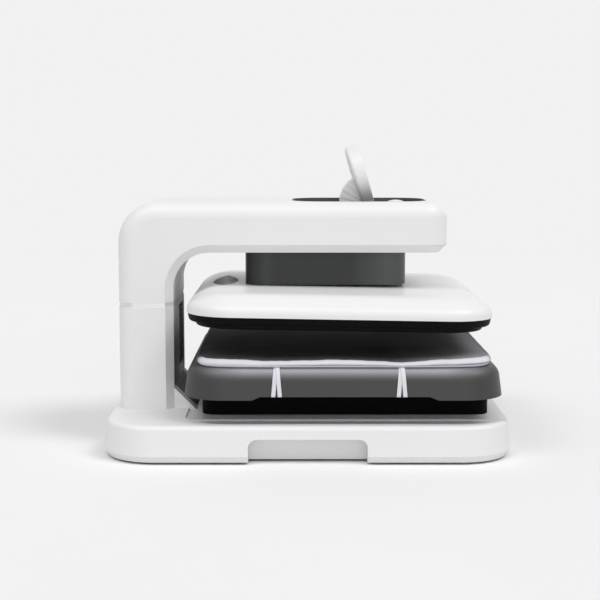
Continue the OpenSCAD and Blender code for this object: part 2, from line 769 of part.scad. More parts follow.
module power_board() color("darkgreen") translate([post_x1 - post_t - mains_post, 0, inlet_z + mains_up]) {
    w = mains_board.y;
    h = mains_board.z;
    part = [-mains_board.x, 0, 0];
    translate([-mains_board.x, -w / 2, 0]) cube(mains_board);
    for (y = [6 - w / 2, w / 2 - 6], z = [6, h - 6]) translate([0, y, z]) rotate([0, 90, 0])
        cylinder(d = 6, h = mains_post);
    translate(part + [-20, 8 - w / 2, 8]) cube([20, 34, 30]);
    for (z = [h - 30, h - 14]) translate(part + [-17, 20, z]) rotate([0, 90, 0]) cylinder(d = 13, h = 17);
    translate(part + [-12, 0, 10]) cube([12, 32, 24]);
}

module control_board() color("darkgreen") translate([button_x, 0, beam_top]) {
    t = key_board.z;
    translate([8 - key_board.x, -key_board.y / 2, 0]) cube(key_board);
    translate([-4, -4, t]) cube([8, 8, 1.2]);
    for (y = [-34, 24]) translate([-14, y, t]) cube([10, 10, 1]);
}

module drive_motor() color("dimgray") translate([ram_x - gearbox_l / 2, 0, motor_z]) rotate([0, -90, 0]) {
    cylinder(d = motor_d, h = motor_l);
    translate([0, 0, motor_l]) cylinder(d = 14, h = 4);
}

module screw_gearbox() color("gray") difference() {
    translate([ram_x - gearbox_l / 2, -gearbox_w / 2, gearbox_z])
        cube([gearbox_l, gearbox_w, beam_z - gearbox_z]);
    translate([ram_x, 0, 0]) cylinder(d = screw_d + 2 * run_clear, h = arm_top);
}

module guide_bushes() color("goldenrod")
    for (p = rod_at) translate([p.x, p.y, 0]) difference() {
        union() {
            translate([0, 0, bush_z]) cylinder(d = bush_d, h = beam_z - bush_z);
            translate([0, 0, beam_z - 3]) cylinder(d = bush_d + 8, h = 3);
        }
        cylinder(d = rod_d + 2 * run_clear, h = arm_top);
    }

module ram_shroud() color([0.24, 0.24, 0.25]) translate([ram_x, 0, ram_z]) difference() {
    round_plate(shroud_l, shroud_w, shroud_r, shroud_top - ram_z);
    translate([0, 0, -eps]) round_plate(shroud_l - 2 * shroud_wall, shroud_w - 2 * shroud_wall,
        shroud_r - shroud_wall, shroud_top - ram_z + 2 * eps);
}

module ram_plate() color("gray") translate([ram_x, 0, ram_z])
    round_plate(shroud_l - 2 * shroud_wall - 2 * snug, shroud_w - 2 * shroud_wall - 2 * snug,
        shroud_r - shroud_wall - snug, ram_plate_t);

module lead_screw() color("silver") translate([ram_x, 0, rod_z]) {
    cylinder(d = screw_d, h = rod_top - rod_z);
    cylinder(d = collar[0], h = collar[1]);
}

module guide_rods() color("silver")
    for (p = rod_at) translate([p.x, p.y, rod_z]) cylinder(d = rod_d, h = rod_top - rod_z);

module level_clevis() color("gray")
    mirrored_y() translate([ram_x, lug_w / 2 + clevis_gap + clevis_t / 2, 0]) difference() {
        along_y(clevis_t) {
            translate([0, pivot_z]) circle(clevis_r);
            translate([-clevis_r, pivot_z]) square([2 * clevis_r, ram_z - pivot_z]);
        }
        translate([0, 0, pivot_z]) rotate([90, 0, 0])
            cylinder(d = level_pin_d, h = 2 * clevis_t, center = true);
    }

module level_pin() color("silver")
    translate([ram_x, 0, pivot_z]) rotate([90, 0, 0])
        cylinder(d = level_pin_d, h = lug_w + 2 * (clevis_gap + clevis_t), center = true);

// The platen hangs on its pin with its nose a little low
module hung() translate([ram_x, 0, pivot_z]) rotate([0, platen_tilt, 0]) translate([-ram_x, 0, -pivot_z])
    children();

module platen_crown(wall) translate([platen_x, 0, rim_z])
    slab(platen_l - 2 * wall, platen_l - 2 * wall, platen_r - wall, rim_h + crown_h - wall) crown_face(wall);

// Eye-shaped outline where two wide circles overlap
module inset_outline(grow) translate([platen_x - platen_l / 2 + inset_at, 0, rim_z])
    linear_extrude(3 * crown_h) intersection() {
        translate([inset_r - inset_l / 2, 0]) circle(inset_r + grow);
        translate([inset_l / 2 - inset_r, 0]) circle(inset_r + grow);
    }

module platen_shell() color("white") hung() difference() {
    platen_crown(0);
    translate([0, 0, -eps]) platen_crown(platen_wall);
    translate([ram_x - neck_l / 2, -neck_w / 2, rim_z]) cube([neck_l, neck_w, 2 * crown_h]);
    inset_outline(0);
}

module platen_inset() color([0.38, 0.38, 0.38]) hung() difference() {
    intersection() {
        translate([0, 0, -0.8]) platen_crown(0);
        inset_outline(-snug);
    }
    translate([0, 0, -0.4]) platen_crown(platen_wall);
}

module platen_skirt() color([0.07, 0.07, 0.07])
    hung() translate([platen_x, 0, rim_z]) mirror([0, 0, 1]) difference() {
        slab(platen_l - 2, platen_l - 2, platen_r - 1, skirt_h) edge_face(platen_r - 1, skirt_h, 2, 4);
        translate([0, 0, -eps]) round_plate(plate_l + 1, plate_l + 1, heat_r + 0.5, skirt_h + 2 * eps);
    }

module heat_plate() color([0.05, 0.05, 0.05]) hung() translate([platen_x, 0, element_z]) mirror([0, 0, 1])
    slab(plate_l, plate_l, heat_r, plate_t) edge_face(heat_r, plate_t, 0, 3);

module heating_element() color("gray") hung() translate([platen_x, 0, element_z + element_d / 2]) {
    for (i = [0:6]) translate([-element_run / 2, (i - 3) * element_pitch, 0])
        rotate([0, 90, 0]) cylinder(d = element_d, h = element_run);
    for (i = [0:5]) {
        side = i % 2 == 0 ? 1 : -1;
        translate([side * element_run / 2, (i - 2.5) * element_pitch, 0]) rotate(-90 * side)
            rotate_extrude(angle = 180) translate([element_pitch / 2, 0]) circle(d = element_d);
    }
}

module thermostat() color("silver") hung() translate([platen_x, 0, element_z])
    translate([-60, element_pitch / 2, 0]) cylinder(d = 16, h = element_d);

module insulation_board() color("tan") hung() translate([platen_x, 0, board_z])
    round_plate(plate_l - 4, plate_l - 4, heat_r - 2, board_t);

module platen_bracket() color("gray") hung() {
    l = platen_l - 2 * platen_wall - 3;
    translate([platen_x, 0, rim_z]) round_plate(l, l, platen_r - platen_wall - 1.5, bracket_t);
    translate([ram_x, 0, 0]) difference() {
        along_y(lug_w) {
            translate([0, pivot_z]) circle(clevis_r);
            translate([-clevis_r, rim_z]) square([2 * clevis_r, pivot_z - rim_z]);
        }
        translate([0, 0, pivot_z]) rotate([90, 0, 0])
            cylinder(d = level_pin_d + 2 * run_clear, h = 2 * lug_w, center = true);
    }
}

// Bosses and ribs under the tray's top reach down to its steel plate
module tray_shell() color([0.3, 0.3, 0.31]) translate([tray_x, 0, 0]) {
    inner_r = tray_r - tray_wall;
    inner_h = tray_h - tray_wall;
    difference() {
        translate([0, 0, tray_z]) slab(tray_l, tray_d, tray_r, tray_h)
            edge_face(tray_r, tray_h, tray_lean, tray_fillet);
        translate([0, 0, tray_z]) slab(tray_l - 2 * tray_wall, tray_d - 2 * tray_wall, inner_r, inner_h)
            edge_face(inner_r, inner_h, tray_lean, tray_fillet - 2);
        along_y(2 * tray_d) polygon([[notch_x[0] - 6, tray_z - eps], [notch_x[0] + 6, tray_z + notch_rise],
            [notch_x[1] - 6, tray_z + notch_rise], [notch_x[1] + 6, tray_z - eps]]);
    }
    for (p = tray_boss_at) translate([p.x, p.y, tray_plate_z + tray_plate_t]) difference() {
        cylinder(d = 14, h = tray_top - tray_wall - tray_plate_z - tray_plate_t + eps);
        translate([0, 0, -eps]) cylinder(d = screw_shank + 0.1, h = tray_screw_l + 2);
    }
}

module tray_plate() color("gray") translate([tray_x, 0, tray_plate_z]) difference() {
    inset = tray_wall + tray_lean * (tray_plate_z + tray_plate_t - tray_z) / tray_h + 0.6;
    round_plate(tray_l - 2 * inset, tray_d - 2 * inset, tray_r - inset, tray_plate_t);
    for (p = tray_boss_at) translate([p.x, p.y, -eps]) cylinder(d = screw_shank + 0.4, h = 2 * tray_plate_t);
}

module tray_screws() color("silver")
    for (p = tray_boss_at) translate([tray_x + p.x, p.y, tray_plate_z]) {
        translate([0, 0, -screw_head[1]]) cylinder(d = screw_head[0], h = screw_head[1]);
        cylinder(d = screw_shank, h = tray_screw_l);
    }

module tray_runners() color("dimgray")
    mirrored_y() for (x = [runner_front - runner_pitch, runner_front])
        translate([x - runner_l / 2, rail_y, 0]) along_x(runner_l) difference() {
            translate([-runner_w / 2, housing_z + 1.5]) square([runner_w, tray_plate_z - housing_z - 1.5]);
            translate([0, housing_z]) rail_face(slide_clear);
        }

// Pad of folded cloth: a rounded square whose sides draw in a little, full at the rim and crowned
// towards the middle
function superellipse(a, e) =
    [sign(cos(a)) * pow(abs(cos(a)), 2 / e), sign(sin(a)) * pow(abs(sin(a)), 2 / e)];
function pad_point(a, s) = let (p = superellipse(a, 9), q = pad_l / 2 * s)
    [p.x * (q - pad_draw * s * pow(cos(2 * a), 2)), p.y * (q - pad_draw * s * pow(cos(2 * a), 2))];
module press_pad() color([0.85, 0.85, 0.88]) translate([tray_x + pad_shift, 0, tray_top + snug]) {
    h = pad_t - snug;
    last = len(pad_rings) - 1;
    points = [for (ring = pad_rings, i = [0:pad_n - 1])
        concat(pad_point(360 * i / pad_n, ring[0]), [ring[1] * h])];
    sides = [for (k = [0:last - 1], i = [0:pad_n - 1])
        let (a = k * pad_n + i, b = k * pad_n + (i + 1) % pad_n)
        each [[a, a + pad_n, b], [b, a + pad_n, b + pad_n]]];
    caps = [for (i = [0:pad_n - 1]) let (j = (i + 1) % pad_n)
        each [[i, j, len(points)], [last * pad_n + j, last * pad_n + i, len(points) + 1]]];
    polyhedron(concat(points, [[0, 0, 0], [0, 0, h]]), concat(sides, caps), convexity = 4);
}

// Ribbon ties, in pairs sewn under the pad's edge: each runs over the tray's rim and down its side, one
// ribbon crossing over the other and the two spreading as they hang.
// A step of the run holds the spread, the place across and above the tray's top, and the way it faces.
function tie_wall(z) = tray_d / 2 - tray_lean * (tray_h + z) / tray_h + tie_gap;
function tie_step(y, z, facing) = [tie_spread * max(0, -z) / tie_drop, y, z, facing];
tie_run = [
    tie_step(fillet_y - tie_tuck, tie_gap, 90),
    tie_step(fillet_y, tie_gap, 90),
    for (a = [75:-15:15])
        tie_step(fillet_y + fillet_path * cos(a), fillet_path * sin(a) - tray_fillet, a),
    for (d = [0.5, 0.66, 0.83, 1]) tie_step(tie_wall(-d * tie_drop), -d * tie_drop, 0)];
function tie_lift(spread, side) = side > 0 ? tie_over * min(1, max(0, (tie_spread - spread) / 1.4)) : 0;
function tie_ring(p, side) = let (
    x = side * (tie_w / 5 + p[0]),
    out = [0, cos(p[3]), sin(p[3])],
    c = [x, p[1], p[2]] + out * tie_lift(p[0], side),
    u = out * tie_t / 2,
    w = [tie_w / 2, 0, 0])
    [c - w - u, c + w - u, c + w + u, c - w + u];
module ribbon(side) {
    n = len(tie_run);
    points = [for (p = tie_run) each tie_ring(p, side)];
    walls = [for (k = [0:n - 2], i = [0:3]) let (a = 4 * k + i, b = 4 * k + (i + 1) % 4)
        each [[a, b, a + 4], [b, b + 4, a + 4]]];
    m = 4 * (n - 1);
    polyhedron(points, concat(walls, [[0, 2, 1], [0, 3, 2], [m, m + 1, m + 2], [m, m + 2, m + 3]]));
}
module pad_ties() color("white")
    mirrored_y() for (x = [-tie_x, tie_x], side = [-1, 1])
        translate([tray_x + tie_shift + x, 0, tray_top]) ribbon(side);

// The display head leans back from its hinge, facing the user
module raised() translate([hinge_x, 0, hinge_z]) rotate([0, 90 - display_lean, 0]) children();

// Round head: a thick disc, well rounded behind and crisp in front, and the knuckle of its hinge
module head_disc() raised() translate([-display_up, 0, -display_t / 2]) rotate_extrude() {
    square([display_d / 2 - head_edge, display_t]);
    translate([0, head_edge]) square([display_d / 2, display_t - head_edge - head_lip]);
    translate([0, display_t - 2 * head_lip]) square([display_d / 2 - head_lip, 2 * head_lip]);
    translate([display_d / 2 - head_edge, head_edge]) circle(head_edge);
    translate([display_d / 2 - head_lip, display_t - head_lip]) circle(head_lip);
}
module at_hinge(d, length)
    translate([hinge_x, 0, hinge_z]) rotate([90, 0, 0]) cylinder(d = d, h = length, center = true);

module display_head() color("white") difference() {
    union() {
        head_disc();
        at_hinge(2 * lug_r, knuckle_w);
    }
    raised() translate([-display_up, 0, display_t / 2 - glass_t])
        cylinder(d = display_d - 2 * glass_rim, h = 2 * glass_t);
    at_hinge(hinge_pin_d + 2 * run_clear, display_d);
}

module display_glass() color([0.04, 0.04, 0.05])
    raised() translate([-display_up, 0, display_t / 2 - glass_t])
        cylinder(d = display_d - 2 * (glass_rim + snug), h = glass_t - 0.1);

// Hood of nested fan blades round the hinge, from behind the display down into the dish
module hood_blade(a0, a1, r, w) intersection() {
    rotate([90, 0, 0]) cylinder(r = r, h = w, center = true);
    along_y(2 * w) polygon([[0, 0], for (a = [a0, (a0 + a1) / 2, a1]) 2 * r * [cos(a), sin(a)]]);
}
module display_hood() color([0.95, 0.95, 0.95]) difference() {
    translate([hinge_x, 0, hinge_z]) {
        a0 = 90 + display_lean;
        fan = hood_sweep / hood_n;
        for (i = [0:hood_n - 1])
            hood_blade(a0 + i * fan - (i > 0 ? 1 : 0), a0 + (i + 1) * fan, hood_r - i * hood_step,
                hood_w - 6 - 3 * i * hood_step);
    }
    head_disc();
    at_hinge(2 * lug_r, display_d);
}

module start_button() color("white") translate([button_x, 0, button_z]) {
    h = 9;
    dome_r = 30;
    rotate_extrude() intersection() {
        union() {
            square([button_d / 2, h]);
            translate([0, h]) square([button_d / 2, 6]);
        }
        translate([0, h + 6 - dome_r]) circle(dome_r);
        square([button_d / 2, 2 * h]);
    }
    translate([0, 0, -button_travel - fit - 0.5]) cylinder(d = stem_d, h = button_travel + 2);
}

base_shell();
base_plate();
rubber_feet();
base_screws();
slide_housing();
slide_rails();
frame_post();
arm_beam();
frame_bolts();
column_shell();
column_panel();
column_vent();
trim_band();
arm_shell();
arm_liner();
control_dish();
display_pin();
power_inlet();
power_board();
control_board();
drive_motor();
screw_gearbox();
guide_bushes();
ram_shroud();
ram_plate();
lead_screw();
guide_rods();
level_clevis();
level_pin();
platen_shell();
platen_skirt();
platen_inset();
platen_bracket();
insulation_board();
heating_element();
thermostat();
heat_plate();
tray_shell();
tray_plate();
tray_runners();
tray_screws();
press_pad();
pad_ties();
display_head();
display_glass();
display_hood();
start_button();
power_rocker();
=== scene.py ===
import math

import bpy
import numpy as np
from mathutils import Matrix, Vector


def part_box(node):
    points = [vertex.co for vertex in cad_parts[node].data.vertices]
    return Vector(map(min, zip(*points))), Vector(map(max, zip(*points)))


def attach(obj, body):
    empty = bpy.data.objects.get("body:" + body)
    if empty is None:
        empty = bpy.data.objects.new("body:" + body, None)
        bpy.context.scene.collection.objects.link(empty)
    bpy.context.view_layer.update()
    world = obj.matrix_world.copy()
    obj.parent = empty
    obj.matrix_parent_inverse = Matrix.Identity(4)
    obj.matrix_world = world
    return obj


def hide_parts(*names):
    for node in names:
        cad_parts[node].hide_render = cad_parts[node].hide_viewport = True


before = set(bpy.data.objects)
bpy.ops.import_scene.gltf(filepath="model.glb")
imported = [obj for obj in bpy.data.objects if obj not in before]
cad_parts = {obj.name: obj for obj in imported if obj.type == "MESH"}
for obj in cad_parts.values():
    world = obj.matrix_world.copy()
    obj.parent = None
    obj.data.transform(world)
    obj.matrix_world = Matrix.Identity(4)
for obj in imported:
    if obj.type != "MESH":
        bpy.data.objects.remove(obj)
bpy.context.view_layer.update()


# Base: one white ABS moulding with a spark-eroded satin skin. It carries everything else, and its long
# sides are cut away underneath for the fingers.
class Wire:
    """One socket of a finish. Sums on wires add Math nodes, and node() adds any other node."""

    def __init__(self, tree, socket=None):
        self.tree, self.socket = tree, socket

    def node(self, kind, sockets=(), out=0, **settings):
        """Adds a node: its settings first, then the values or wires of its sockets. Gives one output."""
        made = self.tree.nodes.new(kind)
        for name, value in settings.items():
            setattr(made, name, value)
        for key, value in dict(sockets).items():
            if isinstance(value, Wire):
                self.tree.links.new(value.socket, made.inputs[key])
            else:
                made.inputs[key].default_value = value
        return Wire(self.tree, made.outputs[out])

    def math(self, operation, a, b=0.0):
        """Adds one Math node on two values or wires."""
        return self.node("ShaderNodeMath", {0: a, 1: b}, operation=operation)

    def __add__(self, other):
        return self.math("ADD", self, other)

    def __sub__(self, other):
        return self.math("SUBTRACT", self, other)

    def __rsub__(self, other):
        return self.math("SUBTRACT", other, self)

    def __mul__(self, other):
        return self.math("MULTIPLY", self, other)

    def __truediv__(self, other):
        return self.math("DIVIDE", self, other)

    __radd__, __rmul__ = __add__, __mul__

    def rise(self, low, high):
        """0 below low, 1 above high, straight between."""
        return self.node("ShaderNodeMapRange", {"Value": self, "From Min": low, "From Max": high})

    def blend(self, under, over):
        """Colour under where this wire is 0, over where it is 1."""
        return self.node("ShaderNodeMix", {0: self, 6: under, 7: over}, out=2, data_type="RGBA")

    def noise(self, scale, detail=2.0):
        """Cloudy value about 0.5 on these coordinates; scale is in clouds a metre."""
        return self.node("ShaderNodeTexNoise", {"Vector": self, "Scale": scale, "Detail": detail})

    def drawn(self, scale, detail):
        """Noise drawn out in streaks; scale is in clouds a metre along each axis."""
        return self.node("ShaderNodeMapping", {"Vector": self, "Scale": scale}).noise(1.0, detail)

    def axis(self, name):
        """One coordinate of a place, in metres."""
        return self.node("ShaderNodeSeparateXYZ", {0: self}, out=name)

    def feed(self, shader, name):
        """Links this wire to a named input of a shader."""
        self.tree.links.new(self.socket, shader.inputs[name])

    def relief(self, shader, strength, depth, rounded=None):
        """Bump on a shader's normal: this wire is the height, in parts of a depth in metres."""
        sockets = {"Strength": strength, "Distance": depth, "Height": self}
        if rounded:
            sockets["Normal"] = rounded
        self.node("ShaderNodeBump", sockets).feed(shader, "Normal")


def tone(red, green, blue):
    """Linear colour from the 0 to 255 values that a screen shows: ((c + 0.055) / 1.055) ** 2.4."""
    c = np.array([red, green, blue]) / 255.0
    return tuple(np.where(c > 0.04045, ((c + 0.055) / 1.055) ** 2.4, c / 12.92)) + (1.0,)


def shaded(colour, factor, lift=0.0):
    """Colour times a factor plus a lift, kept at 1 or less."""
    return tuple(min(1.0, factor * c + lift) for c in colour[:3]) + (1.0,)


def start_finish(name, **constants):
    """New material, its shader with the sockets that stay the same all over, and the object's coordinates."""
    material = bpy.data.materials.new(name)
    material.use_nodes = True
    shader = material.node_tree.nodes["Principled BSDF"]
    for socket, value in constants.items():
        shader.inputs[socket.replace("_", " ")].default_value = value
    return material, shader, Wire(material.node_tree).node("ShaderNodeTexCoord", out="Object")


def edge_of(place, radius):
    """Rounded normal within a radius of an edge, and a mask that is 1 on the edge and 0 on the flat."""
    rounded = place.node("ShaderNodeBevel", {"Radius": radius}, samples=4)
    flat = place.node("ShaderNodeNewGeometry", out="Normal")
    same = place.node("ShaderNodeVectorMath", {0: rounded, 1: flat}, out="Value", operation="DOT_PRODUCT")
    return rounded, (1 - same).rise(0.02, 0.3)


def white_moulding(name, white, rough, grain=0.10, rounding=0.0007):
    """Satin white ABS. Colour = white, greyed up to 5 % by slow flow marks and stray specks, paler on worn
    edges; roughness = rough with slow clouds; bump = spark-erosion grain under half a millimetre."""
    material, shader, place = start_finish(name, IOR=1.5, Specular_IOR_Level=0.45)
    rounded, edge = edge_of(place, rounding)
    flow = place.noise(5.0, 4.0)
    speck = place.noise(420.0).rise(0.70, 0.78)
    body = (flow.rise(0.35, 0.75) * 0.35 + speck * 0.35).blend(white, shaded(white, 0.93))
    (edge * 0.6).blend(body, shaded(white, 1.05)).feed(shader, "Base Color")
    (rough + (flow - 0.5) * 0.16 - edge * 0.08 + speck * 0.1).feed(shader, "Roughness")
    place.noise(2600.0).relief(shader, grain, 0.0002, rounded)
    return material


def dress(material, *names):
    """Puts a finish on the named CAD pieces."""
    for name in names:
        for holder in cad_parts[name].material_slots:
            holder.material = material


dress(white_moulding("base_white", tone(236, 236, 237), 0.42), "base_shell")


# Underside: a zinc-plated steel sheet closes the base and takes the pan-head screws, and four soft rubber
# feet are stuck to it.
def plated_steel(name, colour, rough, streak=(3.0, 260.0, 260.0)):
    """Plated or ground steel. Colour = colour, dulled in blotches and a little in the streaks; roughness
    rises along the streaks; bump = the same streaks."""
    material, shader, place = start_finish(name, Metallic=1.0)
    lines = place.drawn(streak, 5.0)
    blotch = place.noise(38.0, 3.0)
    dull = shaded(colour, 0.62)
    rounded, edge = edge_of(place, 0.0004)
    (blotch.rise(0.45, 0.8) * 0.7 + lines * 0.2).blend(colour, dull).feed(shader, "Base Color")
    (rough + (lines - 0.5) * 0.22 + blotch * 0.1 - edge * 0.1).feed(shader, "Roughness")
    lines.relief(shader, 0.12, 0.0002, rounded)
    return material


def dark_moulding(name, colour, rough, gloss, grain=0.14, worn=1.7, painted_light=None, paler=None):
    """Dark moulded plastic or rubber. Colour = colour with slow clouds, rubbed paler by the factor worn on
    edges and in a few scuffs, and turned to paler as painted light by the share that painted_light gives
    for a place; roughness = rough with clouds; bump = moulded grain; gloss = how strongly it mirrors."""
    material, shader, place = start_finish(name, IOR=1.47, Specular_IOR_Level=gloss)
    rounded, edge = edge_of(place, 0.0006)
    cloud = place.noise(9.0, 4.0)
    scuff = place.drawn((30.0, 30.0, 240.0), 4.0)
    pale = shaded(colour, worn, 0.004)
    body = cloud.rise(0.3, 0.7).blend(shaded(colour, 0.86), colour)
    # Painted light: the share from painted_light turns the body towards the paler tone.
    if painted_light:
        body = painted_light(place).blend(body, paler)
    (edge * 0.5 + scuff.rise(0.68, 0.8) * 0.18).blend(body, pale).feed(shader, "Base Color")
    (rough + (cloud - 0.5) * 0.18 + scuff.rise(0.6, 0.8) * 0.06 - edge * 0.08).feed(shader, "Roughness")
    place.noise(1900.0).relief(shader, grain, 0.0002, rounded)
    return material


zinc = plated_steel("zinc_plate", tone(176, 178, 182), 0.36)
dress(zinc, "base_plate", "base_screws", "tray_plate", "tray_screws", "ram_plate", "platen_bracket")
dress(dark_moulding("foot_rubber", tone(34, 34, 35), 0.75, 0.15, 0.3), "rubber_feet")


# Slide: a black glass-filled housing stands in the deck's channel, with two ground steel rails on its roof
# for the drawer's acetal runners.
dress(dark_moulding("slide_black", tone(8, 8, 9), 0.55, 0.06), "slide_housing")
dress(plated_steel("rail_steel", tone(186, 188, 190), 0.24), "slide_rails")
dress(dark_moulding("runner_acetal", tone(26, 26, 28), 0.4, 0.15, 0.06), "tray_runners")


# Steel frame: a folded post bolted to the base sheet, with a flat beam on its top that reaches out inside
# the arm and carries the drive. Both are powder coated, and the bolts are plain steel.
def powder_coat(name, colour):
    """Powder coat: colour with faint clouds and dark pinholes, chipped to bare metal on some edges, and an
    orange-peel bump of about 2 mm."""
    material, shader, place = start_finish(name, IOR=1.5)
    peel = place.noise(520.0, 3.0)
    cloud = place.noise(14.0, 3.0)
    rounded, edge = edge_of(place, 0.0008)
    bare = tone(150, 150, 152)
    body = (cloud.rise(0.3, 0.7) * 0.6 + peel.rise(0.7, 0.75) * 0.4).blend(colour, shaded(colour, 0.75))
    (edge * cloud.rise(0.5, 0.7) * 0.7).blend(body, bare).feed(shader, "Base Color")
    (0.42 + (cloud - 0.5) * 0.2).feed(shader, "Roughness")
    peel.relief(shader, 0.3, 0.0004, rounded)
    return material


dress(powder_coat("frame_grey", tone(104, 110, 118)), "frame_post", "arm_beam")
dress(plated_steel("bolt_steel", tone(150, 152, 156), 0.34, (60.0, 60.0, 60.0)), "frame_bolts")


# Column: a white lower moulding with two wedge cheeks at its foot, closed towards the platen by a charcoal
# panel with a louvred black vent. A thin bright band caps it.
def panel_painted_light(place):
    """Share of painted light that makes the panel paler upwards: grows straight over 48 mm, and is full 10 mm
    below its top.
    """
    return place.axis("Z").rise(0.140, 0.188)


dress(white_moulding("column_white", tone(237, 237, 238), 0.42), "column_shell")
# The panel's paler top, tone(228, 228, 229), is painted light.
dress(dark_moulding("panel_charcoal", tone(112, 113, 114), 0.5, 0.2, paler=tone(228, 228, 229),
                    painted_light=panel_painted_light), "column_panel")
dress(dark_moulding("vent_black", tone(6, 6, 7), 0.6, 0.03), "column_vent")


def bright_trim(name):
    """Bright plating on a moulded band, with upright polishing lines in its roughness and bump. The bevel
    towards the platen, past the crease, is masked when plated and stays white."""
    material, shader, place = start_finish(name, IOR=1.5)
    lines = place.drawn((900.0, 900.0, 8.0), 3.0)
    bevel_long, soft_line = 0.0097, 0.0005
    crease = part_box("trim_band")[1][0] - bevel_long
    plated = 1 - place.axis("X").rise(crease - soft_line, crease)
    cloud = place.noise(30.0, 3.0)
    (cloud * 0.4).blend(tone(224, 224, 226), tone(198, 198, 201)).feed(shader, "Base Color")
    plated.feed(shader, "Metallic")
    (0.2 + (lines - 0.5) * 0.12 + cloud * 0.08).feed(shader, "Roughness")
    lines.relief(shader, 0.06, 0.0001)
    return material


dress(bright_trim("trim_bright"), "trim_band")


# Arm: the outer C is one white moulding from the trim band to the nose. A second moulding, the bevelled
# liner, clips into its open side and meets it at the parting line.
dress(white_moulding("arm_white", tone(238, 238, 239), 0.40), "arm_shell")
dress(white_moulding("liner_white", tone(238, 238, 239), 0.46), "arm_liner")


# Controls: a charcoal dish let into the arm's top. The round display folds down into it on a steel pin,
# with its fan-shaped hood behind, and the domed start button sits in a collar in front.
def display_panel(name):
    """Black screen under a polished cover: near-black with slow clouds, and finger smears that raise the
    roughness and leave a faint bump."""
    material, shader, place = start_finish(name, IOR=1.5, Coat_Weight=0.6, Coat_Roughness=0.04)
    smear = place.drawn((60.0, 25.0, 25.0), 4.0)
    cloud = place.noise(30.0, 3.0)
    (cloud.rise(0.3, 0.8) * 0.8).blend(tone(9, 9, 11), tone(17, 18, 21)).feed(shader, "Base Color")
    (0.06 + smear.rise(0.5, 0.85) * 0.22).feed(shader, "Roughness")
    smear.relief(shader, 0.02, 0.0002)
    return material


def circuit_board(name, axis, face):
    """Green solder mask with paler tracks up to a level on one axis, and dark moulded parts beyond it, which
    is above it on Z and below it on X."""
    material, shader, place = start_finish(name, IOR=1.5)
    squares = place.node("ShaderNodeTexVoronoi", {"Vector": place, "Scale": 260.0}, distance="MANHATTAN")
    cells = place.node("ShaderNodeTexVoronoi", {"Vector": place, "Scale": 45.0}, out="Color")
    mask = squares.rise(0.18, 0.24).blend(tone(74, 128, 84), tone(22, 78, 44))
    parts = place.noise(60.0, 2.0).rise(0.45, 0.55).blend(tone(26, 26, 28), tone(58, 60, 66))
    beyond = (place.axis(axis) - face) * (1.0 if axis == "Z" else -1.0)
    beyond.rise(0.0, 0.0001).blend(mask, parts).feed(shader, "Base Color")
    (0.34 + place.node("ShaderNodeRGBToBW", {0: cells}) * 0.2).feed(shader, "Roughness")
    squares.relief(shader, 0.2, 0.0002)
    return material


dress(dark_moulding("dish_charcoal", tone(96, 97, 99), 0.5, 0.25), "control_dish")
dress(plated_steel("pin_steel", tone(190, 191, 194), 0.22, (260.0, 3.0, 260.0)), "display_pin")
dress(white_moulding("display_white", tone(238, 238, 239), 0.38), "display_head")
# The hood's brighter white is painted light that lifts the shade on its sides.
dress(white_moulding("hood_white", tone(252, 252, 253), 0.5, rounding=0.0002), "display_hood")
dress(display_panel("display_black"), "display_glass")
dress(white_moulding("button_white", tone(239, 239, 240), 0.34), "start_button")

# How far each board's face lies from the side that it is fixed by.
key_board_face, mains_board_face = 0.0016, 0.0056
key_board_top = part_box("control_board")[0][2] + key_board_face
mains_board_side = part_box("power_board")[1][0] - mains_board_face
dress(circuit_board("key_board_green", "Z", key_board_top), "control_board")
dress(circuit_board("mains_board_green", "X", mains_board_side), "power_board")


# Mains inlet: a black moulded module pressed into a window in the column's back, with the socket for a
# mains lead. The rocker switch is a moulding of its own that tilts in the module.
dress(dark_moulding("inlet_black", tone(24, 24, 25), 0.45, 0.25), "power_inlet")
dress(dark_moulding("rocker_black", tone(36, 36, 38), 0.34, 0.3, 0.06), "power_rocker")


# Drive: a can motor on the end of a die-cast worm gearbox that hangs under the beam, and four turned brass
# bushes beside it that the ram's rods slide in.
def turned_metal(name, colour, rough, middle, pitch):
    """Turned rod or screw. A ridge winds round one upright axis, as pingpong(z / pitch + angle / turn);
    colour darkens in its valleys and in slow blotches, and roughness follows."""
    material, shader, place = start_finish(name, Metallic=1.0)
    x, y, z = (place.axis(a) for a in "XYZ")
    turn = place.math("ARCTAN2", y - middle[1], x - middle[0]) / (2 * math.pi)
    ridge = place.math("PINGPONG", z / pitch + turn, 0.5) * 2.0
    blotch = place.noise(60.0, 3.0)
    dull = shaded(colour, 0.45)
    (blotch.rise(0.4, 0.8) * 0.4 + (1 - ridge) * 0.3).blend(colour, dull).feed(shader, "Base Color")
    (rough + blotch * 0.14 + (1 - ridge) * 0.1).feed(shader, "Roughness")
    ridge.relief(shader, 0.5, 0.3 * pitch)
    return material


ram_axis = (0.0255, 0.0)
dress(powder_coat("motor_can", tone(70, 72, 76)), "drive_motor")
dress(powder_coat("gearbox_cast", tone(150, 152, 155)), "screw_gearbox")
dress(turned_metal("bush_brass", tone(196, 160, 92), 0.28, ram_axis, 0.0006), "guide_bushes")


# Ram: a charcoal moulded shroud round a steel plate that the lead screw raises on four ground rods. The
# platen hangs below it on a clevis with a cross pin.
def shroud_painted_light(place):
    """Share of painted light on the shroud: a soft upright stripe of painted highlight by its left corner,
    and its right end.
    """
    stripe_at, stripe_half = -0.057, 0.014
    x = place.axis("X")
    stripe = (1 - place.math("ABSOLUTE", x - stripe_at) / stripe_half).rise(0.0, 1.0)
    return stripe * 0.22 + x.rise(0.06, 0.12)
